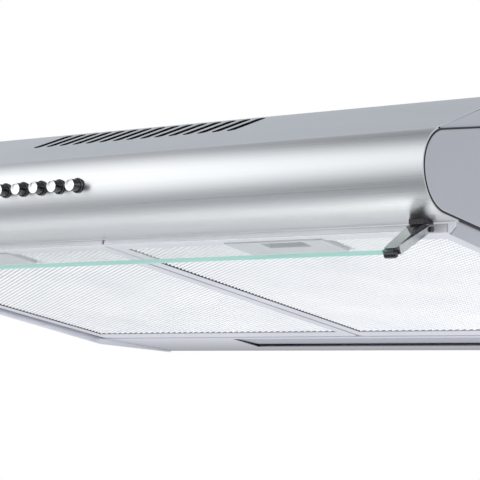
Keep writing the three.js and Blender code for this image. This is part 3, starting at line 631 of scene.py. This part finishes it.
def expanded_mesh():
    """Diamonds of expanded sheet: the strands that run one way face the front and shine."""
    vertices, faces = [], []
    half_x, half_y = DIAMOND[0] / 2, DIAMOND[1] / 2
    columns = int((MESH_X[1] - MESH_X[0] - 2 * MESH_MARGIN) / half_x)
    rows = int((MESH_Y[1] - MESH_Y[0] - 2 * MESH_MARGIN) / half_y)
    for i in range(columns):
        x = MESH_X[0] + MESH_MARGIN + i * half_x
        for j in range(rows):
            y = MESH_Y[0] + MESH_MARGIN + j * half_y
            near_latch = LATCH_X[0] - half_x - LATCH_CLEAR < x < LATCH_X[1] + LATCH_CLEAR
            if near_latch and y < LATCH_Y + LATCH_CLEAR:
                continue
            if (i + j) % 2:
                start, step = (x, y + half_y), (half_x, -half_y)
                strand(vertices, faces, start, step, BRIGHT_WIDTH, BRIGHT_LEAN, MESH_DEPTH)
            else:
                strand(vertices, faces, (x, y), (half_x, half_y), DULL_WIDTH, 0.0, DULL_DEPTH)
    return vertices, faces


def make_mesh(side):
    name = "right" if side > 0 else "left"
    vertices, faces = expanded_mesh()
    middle = MESH_X[0] + MESH_X[1] if side < 0 else 0.0
    place = [(x - middle, y, z) for x, y, z in vertices]
    front = build(f"{name}_expanded_mesh", moved(place, FILTER_PLACE), faces, f"{name}_filter",
                  [MESH_METAL], degrees=30)
    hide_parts(f"{name}_filter_mesh")

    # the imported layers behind, one closed slab with a notch round the latch
    x0, x1 = MESH_X
    a, b = LATCH_X
    outline = [(x0, MESH_Y[0]), (a, MESH_Y[0]), (a, LATCH_Y), (b, LATCH_Y), (b, MESH_Y[0]),
               (x1, MESH_Y[0]), (x1, MESH_Y[1]), (x0, MESH_Y[1])]
    count = len(outline)
    slab = [(x * side, y, z) for z in LAYERS_Z for x, y in outline]
    sides = [(i, (i + 1) % count, (i + 1) % count + count, i + count) for i in range(count)]
    sides += [tuple(range(count)), tuple(range(count, 2 * count))]
    back = build(f"{name}_mesh_layers", moved(slab, FILTER_PLACE), sides, f"{name}_filter", [MESH_BACK])


WINDOW_MARGIN = 2
FRONT_EDGE_DEPTH = 4


def dress_filters():
    """The frames: their window walls that face right carry painted shade, nearly black, and their front edges
    a painted highlight, paler than their sides.
    """
    for side, sign in (("right", 1), ("left", -1)):
        make_mesh(sign)
        frame_piece = dress(f"{side}_filter_frame", FRAME_METAL, 0.7, 3)
        frame_piece.data.materials.append(WINDOW_PAINTED_SHADE)
        frame_piece.data.materials.append(FRAME_FRONT_PAINTED_LIGHT)
        for face in frame_piece.data.polygons:
            within = MESH_X[0] - WINDOW_MARGIN < abs(face.center.x / MM) < MESH_X[1] + WINDOW_MARGIN
            # painted shade on the window walls that face right, painted light on the front edges
            if within and face.normal.x > 0.9:
                face.material_index = 1
            elif face.normal.y < -0.9 and face.center.y / MM < FILTER_FRONT[0] + FRONT_EDGE_DEPTH:
                face.material_index = 2
        dress(f"{side}_latch_housing", LATCH_PLASTIC, 0.6, 3)
        dress(f"{side}_filter_latch", BLACK, 0.4)


# ---- visor ----
VISOR_PLACE = (Matrix.Translation((0, PIN[0], PIN[1]))
               @ Matrix.Rotation(math.radians(VISOR_DEG), 4, "X"))


PANE_THICK = 3.0
PANE_EASE = 0.4
PANE_GAP = 0.3
PANE_FRONT = -41.6
PANE_REAR = -4.1


def make_pane():
    """The pane, with ground edges of its own material on all sides but the rear one."""
    half, ease = PANE_THICK / 2, PANE_EASE
    end, step_x = BAR_INNER_X - PANE_GAP, ARM_INNER_X - PANE_GAP

    def ring(inset, z):
        e, n = end - inset, step_x - inset
        step = BAR_FRONT + inset
        front, rear = PANE_FRONT + inset, PANE_REAR - inset
        return [(-n, front, z), (n, front, z), (n, step, z), (e, step, z),
                (e, rear, z), (-e, rear, z), (-e, step, z), (-n, step, z)]

    rings = [ring(ease, -half), ring(0, ease - half), ring(0, half - ease), ring(ease, half)]
    vertices = [v for one in rings for v in one]
    count, rear_side = len(rings[0]), 4
    last = (len(rings) - 1) * count
    faces, slots = [], []
    for s in range(len(rings) - 1):
        for i in range(count):
            j = (i + 1) % count
            faces.append((s * count + i, s * count + j, (s + 1) * count + j, (s + 1) * count + i))
            slots.append(0 if i == rear_side else 1)
    faces += [tuple(range(count)), tuple(last + i for i in range(count))]
    slots += [0, 0]
    pane = build("visor_pane", moved(vertices, VISOR_PLACE), faces, "visor", [GLASS, GLASS_EDGE], slots, 20)
    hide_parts("visor_glass")


TONGUE_TIP_Z = 2.97
TONGUE_RISE = 0.0974
TONGUE_THICK = 1.35
TONGUE_CORNER_R = 3.2
LEDGE_Z = (-2.6, -1.8)


def tongue_top(at):
    return TONGUE_TIP_Z + (at - TONGUE_FRONT) * TONGUE_RISE


def make_arms():
    """Each arm is a bright tapering bar outside the pane, a duller tongue over it and a ledge under it."""
    eye_r, top_z = 2.6, (2.65, 3.3)
    bar = [(BAR_FRONT, -2.8), (-eye_r, -1.9)] + arc((0, 0), eye_r, -125, 80, 24)
    bar += [(-eye_r, top_z[0]), (BAR_FRONT, top_z[1])]
    low, high = LEDGE_Z
    ledge = [(BAR_FRONT + 1, low), (TONGUE_REAR, low), (TONGUE_REAR, high), (BAR_FRONT + 1, high)]
    left, right, r = ARM_INNER_X + 0.6, ARM_OUTER_X - 0.4, TONGUE_CORNER_R
    plan = [(right, TONGUE_SKEW), (left, TONGUE_REAR), (left, TONGUE_FRONT + r)]
    plan += [(left + r + r * math.cos(a), TONGUE_FRONT + r - r * math.sin(a))
             for a in [math.radians(180 - 15 * k) for k in range(1, 7)]]
    plan += [(right - 1.0, TONGUE_FRONT + 0.3), (right, TONGUE_FRONT + 1.3)]
    for side, name in ((1, "right"), (-1, "left")):
        place = VISOR_PLACE @ Matrix.Diagonal((side, 1, 1, 1))
        vertices, faces = drawn_out(bar, [BAR_INNER_X, ARM_OUTER_X])
        more, sides = drawn_out(ledge, [ARM_INNER_X + 2, BAR_INNER_X + 1])
        faces += [tuple(len(vertices) + i for i in f) for f in sides]
        arm = build(f"{name}_arm_bar", moved(vertices + more, place), faces, "visor", [ARM_METAL], degrees=40)
        bevel(arm, 0.6, 4)
        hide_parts(f"{name}_visor_arm")
        under = [(x, y, tongue_top(y) - TONGUE_THICK) for x, y in plan]
        over = [(x, y, tongue_top(y)) for x, y in plan]
        count = len(plan)
        faces = [(i, (i + 1) % count, (i + 1) % count + count, i + count) for i in range(count)]
        faces += [tuple(range(count)), tuple(range(count, 2 * count))]
        # painted shade: the tongue's side faces are black, standing in for the shadow gap between tongue and
        # bar
        slots = [1] * count + [0, 0]
        tongue = build(f"{name}_arm_tongue", moved(under + over, place), faces, "visor",
                       [TONGUE_METAL, BLACK_GLOSS], slots)
        bevel(tongue, 0.35, 3)


def dress_visor():
    make_pane()
    make_arms()
    for side in ("left", "right"):
        dress(f"{side}_visor_heel", BLACK, 0.5, 3)
        dress(f"{side}_visor_tip", BLACK_GLOSS, 1.8, 5)
        dress(f"{side}_visor_pin", BLACK_GLOSS, 0.4, 3)
        dress(f"{side}_visor_bracket", BLACK, 0.3, 2)


# ---- push buttons ----
STEM_R = 2.9
STEM_END = -22.8
BUTTON_REAR = -9.0
BUTTON_STEPS = 40


def make_buttons():
    """Black plungers with a bright dished end, each in a flared black bezel."""
    names = ["off", "speed_1", "speed_2", "speed_3", "lamp"]
    turn = Matrix.Rotation(math.pi / 2, 4, "X")
    out = BUTTON_OUT
    for i, (key, x) in enumerate(zip(names, BUTTON_X)):
        place = Matrix.Translation((x, NOSE_FRONT_Y, BUTTON_Z)) @ turn
        stem = [(0, STEM_END), (STEM_R, STEM_END), (STEM_R, BUTTON_REAR), (BUTTON_R, BUTTON_REAR),
                (BUTTON_R, out - 0.2)]
        disc = [(BUTTON_R - 0.1, out - 0.04), (BUTTON_R - 0.35, out), (BUTTON_R - 0.7, out - 0.15),
                (2.0, out - 0.4), (0, out - 0.55)]
        profile = stem + disc
        vertices, faces = lathe(profile, BUTTON_STEPS)
        bands = [f // BUTTON_STEPS for f in range(len(faces))]
        slots = [1 if band >= len(stem) - 1 else 0 for band in bands]
        knob = build(f"key_{key}_cap", moved(vertices, place), faces, f"key_{key}",
                     [BLACK_GLOSS, CHROME], slots, 40)
        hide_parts(f"button_{key}")
        collar = [(4.5, -6), (4.95, -6), (4.95, 0.35), (5.5, 0.35), (5.5, 0.8), (5.4, 1.1), (5.2, 1.35),
                  (4.9, 1.55), (4.65, 1.6), (4.5, 1.45)]
        vertices, faces = lathe(collar, BUTTON_STEPS)
        bezel = build(f"key_bezel_{i + 1}", moved(vertices, place), faces, "hood", [BLACK_GLOSS], degrees=40)
        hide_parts(f"button_bezel_{i + 1}")
    dress("switch_housing", BLACK, 0.5)


# ---- duct outlet, blower, lamps ----
def make_outlet():
    bore, rim, top = DUCT_R - DUCT_WALL, DUCT_R + 2, DUCT_HEIGHT
    profile = [(bore, -3.3), (rim, -3.3), (rim, -1.4), (DUCT_R, -1.3), (DUCT_R, top - 1.4),
               (DUCT_R - 0.3, top - 0.4), (DUCT_R - 1, top), (bore + 0.3, top - 0.4), (bore, top - 1.4)]
    vertices, faces = lathe(profile, 96)
    place = Matrix.Translation((DUCT[0], DUCT[1], 0))
    collar = build("duct_collar", moved(vertices, place), faces, "hood", [COLLAR_PLASTIC])
    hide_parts("outlet_collar")
    for node in ("front_flap", "rear_flap"):
        dress(node, COLLAR_PLASTIC, 0.25)
    dress("flap_pin", CHROME, 0.2)


def dress_insides():
    for node in ("scroll_wall", "left_scroll_side", "right_scroll_side", "motor_bracket"):
        dress(node, ZINC, 0.3)
    dress("impeller", BLACK, 0.15)
    dress("motor_shaft", CHROME, 0.3)
    dress("motor", MOTOR, 1.0)
    for side in ("left", "right"):
        dress(f"{side}_lamp", OPAL, 0.2)
        dress(f"{side}_lamp_holder", WHITE, 0.5)
    dress("terminal_box", WHITE, 1.2, 3)
    dress("capacitor", WHITE, 1.0, 3)
    dress("cable_gland", BLACK, 0.5)


# ---- studio ----
FLOOR_RADIUS = 14.0
FLOOR_Z = -6.0
FLOOR_GLOW = 0.25


def make_floor():
    """A pale disc far below, that only the camera sees, so it neither shades nor tints the hood."""
    steps, radius, z = 96, FLOOR_RADIUS, FLOOR_Z
    vertices = [(0, 0, z)] + [(radius * math.cos(2 * math.pi * k / steps),
                               radius * math.sin(2 * math.pi * k / steps), z) for k in range(steps)]
    faces = [(0, k + 1, (k + 1) % steps + 1) for k in range(steps)]
    mesh = bpy.data.meshes.new("studio_floor")
    mesh.from_pydata(vertices, [], faces)
    floor = bpy.data.objects.new("studio_floor", mesh)
    bpy.context.scene.collection.objects.link(floor)
    m = Nodes("studio_floor")
    m.set(Base_Color=(0.9, 0.9, 0.9, 1), Roughness=0.8)
    m.set(Emission_Color=(1, 1, 1, 1), Emission_Strength=FLOOR_GLOW)
    mesh.materials.append(m.material)
    floor.visible_diffuse = False
    floor.visible_glossy = False
    floor.visible_transmission = False
    floor.visible_shadow = False


# brightness of the soft studio surround against the angle above the front horizon, in degrees:
# the left of the room has a broad tall window, the right a lower and softer one
LEFT_ROOM = [
    (-180, 0.84), (-156, 0.95), (-140, 0.88), (-120, 0.88), (-104, 0.98), (-90, 1.12), (-76, 1.08),
    (-62, 0.66), (-48, 0.44), (-36, 0.52), (-24, 0.70), (-12, 1.20), (4, 1.68), (24, 1.78), (46, 1.80),
    (66, 1.68), (82, 1.34), (96, 0.98), (110, 0.68), (126, 0.52), (145, 0.58), (158, 0.74), (180, 0.84)]
RIGHT_ROOM = [
    (-180, 0.84), (-156, 1.02), (-130, 0.98), (-108, 1.34), (-90, 1.62), (-76, 1.38), (-62, 0.66),
    (-48, 0.31), (-32, 0.24), (-16, 0.48), (-2, 0.92), (14, 1.26), (36, 1.34), (52, 1.14), (68, 0.74),
    (84, 0.42), (100, 0.27), (116, 0.29), (130, 0.46), (145, 0.68), (158, 0.76), (180, 0.84)]
ROOM_SCALE = 2.0
# where the left room gives way to the right one, as the X of a direction
ROOM_EDGE = (-0.66, -0.54)
# how much a dim part of the room loses in red and green, and gains in blue
COOLING = (-0.055, -0.012, 0.05)


def room_ramp(tree, share, table):
    """A colour ramp that gives a room's brightness for each angle."""
    ramp = tree.nodes.new("ShaderNodeValToRGB")
    tree.links.new(share, ramp.inputs["Fac"])
    bright = ramp.color_ramp
    bright.interpolation = "CARDINAL"
    bright.elements.remove(bright.elements[-1])
    for i, (degrees, value) in enumerate(table):
        position = (degrees + 180) / 360
        element = bright.elements[0] if i == 0 else bright.elements.new(position)
        element.position = position
        level = value / ROOM_SCALE
        element.color = (*(level * (1 + change * (1 - level)) for change in COOLING), 1)
    return ramp.outputs["Color"]


def make_surround():
    """A world that lights and reflects as the two rooms do, and is plain white to the camera."""
    world = bpy.data.worlds.new("soft_studio")
    bpy.context.scene.world = world
    world.use_nodes = True
    tree = world.node_tree
    tree.nodes.clear()
    link = tree.links.new
    output = tree.nodes.new("ShaderNodeOutputWorld")
    coordinate = tree.nodes.new("ShaderNodeTexCoord")
    split = tree.nodes.new("ShaderNodeSeparateXYZ")
    link(coordinate.outputs["Generated"], split.inputs["Vector"])
    flip = tree.nodes.new("ShaderNodeMath")
    flip.operation = "MULTIPLY"
    flip.inputs[1].default_value = -1.0
    link(split.outputs["Y"], flip.inputs[0])
    angle = tree.nodes.new("ShaderNodeMath")
    angle.operation = "ARCTAN2"
    link(split.outputs["Z"], angle.inputs[0])
    link(flip.outputs["Value"], angle.inputs[1])
    share = tree.nodes.new("ShaderNodeMapRange")
    share.inputs["From Min"].default_value = -math.pi
    share.inputs["From Max"].default_value = math.pi
    link(angle.outputs["Value"], share.inputs["Value"])
    left = room_ramp(tree, share.outputs["Result"], LEFT_ROOM)
    right = room_ramp(tree, share.outputs["Result"], RIGHT_ROOM)
    across = tree.nodes.new("ShaderNodeMapRange")
    across.inputs["From Min"].default_value, across.inputs["From Max"].default_value = ROOM_EDGE
    link(split.outputs["X"], across.inputs["Value"])
    blend = tree.nodes.new("ShaderNodeMix")
    blend.data_type = "RGBA"
    link(across.outputs["Result"], blend.inputs["Factor"])
    link(left, blend.inputs["A"])
    link(right, blend.inputs["B"])
    studio = tree.nodes.new("ShaderNodeBackground")
    studio.inputs["Strength"].default_value = ROOM_SCALE
    link(blend.outputs["Result"], studio.inputs["Color"])
    plain = tree.nodes.new("ShaderNodeBackground")
    plain.inputs["Color"].default_value = (1, 1, 1, 1)
    plain.inputs["Strength"].default_value = 1.0
    path = tree.nodes.new("ShaderNodeLightPath")
    mix = tree.nodes.new("ShaderNodeMixShader")
    link(path.outputs["Is Camera Ray"], mix.inputs["Fac"])
    link(studio.outputs["Background"], mix.inputs[1])
    link(plain.outputs["Background"], mix.inputs[2])
    link(mix.outputs["Shader"], output.inputs["Surface"])


def make_light(name, place, target, size, power):
    """A soft square light that the camera doesn't see."""
    data = bpy.data.lights.new(name, "AREA")
    data.shape = "RECTANGLE"
    data.size, data.size_y = size
    data.energy = power
    light = bpy.data.objects.new(name, data)
    bpy.context.scene.collection.objects.link(light)
    light.location = place
    light.rotation_mode = "QUATERNION"
    light.rotation_quaternion = (Vector(target) - Vector(place)).to_track_quat("-Z", "Y")
    light.visible_camera = False
    return light


CAMERA_PLACE = (0.93607, -1.19914, -0.17429)
CAMERA_YAW = math.radians(37.413)
CAMERA_PITCH = math.radians(3.426)
CAMERA_LENS = 146.25


def make_camera():
    """A long lens from the front right, looking slightly upwards."""
    yaw, pitch = CAMERA_YAW, CAMERA_PITCH
    ahead = Vector((-math.sin(yaw) * math.cos(pitch), math.cos(yaw) * math.cos(pitch), math.sin(pitch)))
    data = bpy.data.cameras.new("camera")
    data.lens = CAMERA_LENS
    data.sensor_width = 36.0
    data.clip_start, data.clip_end = 0.01, 100
    camera = bpy.data.objects.new("camera", data)
    bpy.context.scene.collection.objects.link(camera)
    camera.location = CAMERA_PLACE
    camera.rotation_mode = "QUATERNION"
    camera.rotation_quaternion = ahead.to_track_quat("-Z", "Y")
    bpy.context.scene.camera = camera


make_nose()
make_caps()
dress_casing()
dress_filters()
dress_visor()
make_buttons()
make_outlet()
dress_insides()

make_floor()
make_surround()
make_light("side_fill", (1.8, -0.6, 0.5), (0.3, 0.0, -0.08), (1.2, 1.2), 6)
under_fill = make_light("under_fill", (0.2, -0.7, -1.4), (0.0, 0.0, -0.13), (1.6, 1.6), 13)
under_fill.visible_glossy = False
make_camera()
bpy.context.scene.view_settings.view_transform = "Standard"
